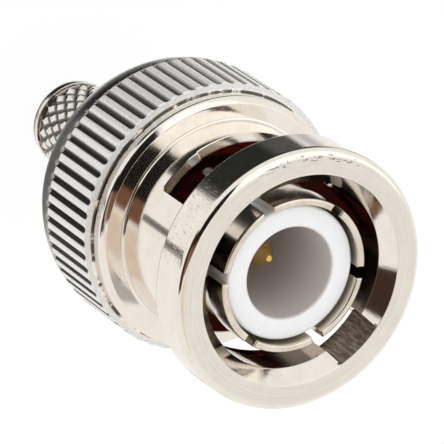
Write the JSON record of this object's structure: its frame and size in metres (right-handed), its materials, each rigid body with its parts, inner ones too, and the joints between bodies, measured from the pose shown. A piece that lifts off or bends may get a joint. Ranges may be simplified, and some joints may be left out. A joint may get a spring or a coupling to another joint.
{
  "type": "bnc connector",
  "caption": "Crimp-type coaxial cable plug with a sprung, freely turning bayonet coupling nut, slotted outer contact, white insulator and gold centre pin.",
  "frame": {"origin": "centre of the end of the crimp stem, which the plug stands on", "axes": "+Z along the plug's axis towards the mating face; the spring slots of the outer contact are spaced from +X"},
  "size_m": [0.0144, 0.0144, 0.025],
  "materials": {
    "nut_nickel": "bright nickel plate over turned brass",
    "contact_nickel": "nickel plate over turned spring brass",
    "body_nickel": "nickel plate over turned and diamond-knurled brass",
    "washer_nickel": "nickel plate over stamped brass",
    "spring_steel": "plain spring steel",
    "insulator_white": "turned white fluoropolymer, slightly translucent",
    "contact_gold": "gold plate over turned brass",
    "gasket_red": "dark red silicone rubber"
  },
  "bodies": {
    "plug_body": {"outer_contact": "contact_nickel", "front_insulator": "insulator_white", "centre_contact": "contact_gold", "rear_insulator": "insulator_white", "gasket": "gasket_red", "wave_washer": "spring_steel", "retaining_ring": "spring_steel", "rear_body": "body_nickel"},
    "washer": {"thrust_washer": "washer_nickel"},
    "nut": {"coupling_nut": "nut_nickel"}
  },
  "joints": [
    {"name": "nut_slide", "type": "slide", "parent": "plug_body", "child": "washer", "axis": [0, 0, 1], "range_m": [0, 0.0005], "stiffness_N_per_m": 12000, "deforming": ["wave_washer"]},
    {"name": "nut_spin", "type": "hinge", "parent": "washer", "child": "nut", "pos_m": [0, 0, 0.012], "axis": [0, 0, 1], "continuous": true}
  ]
}
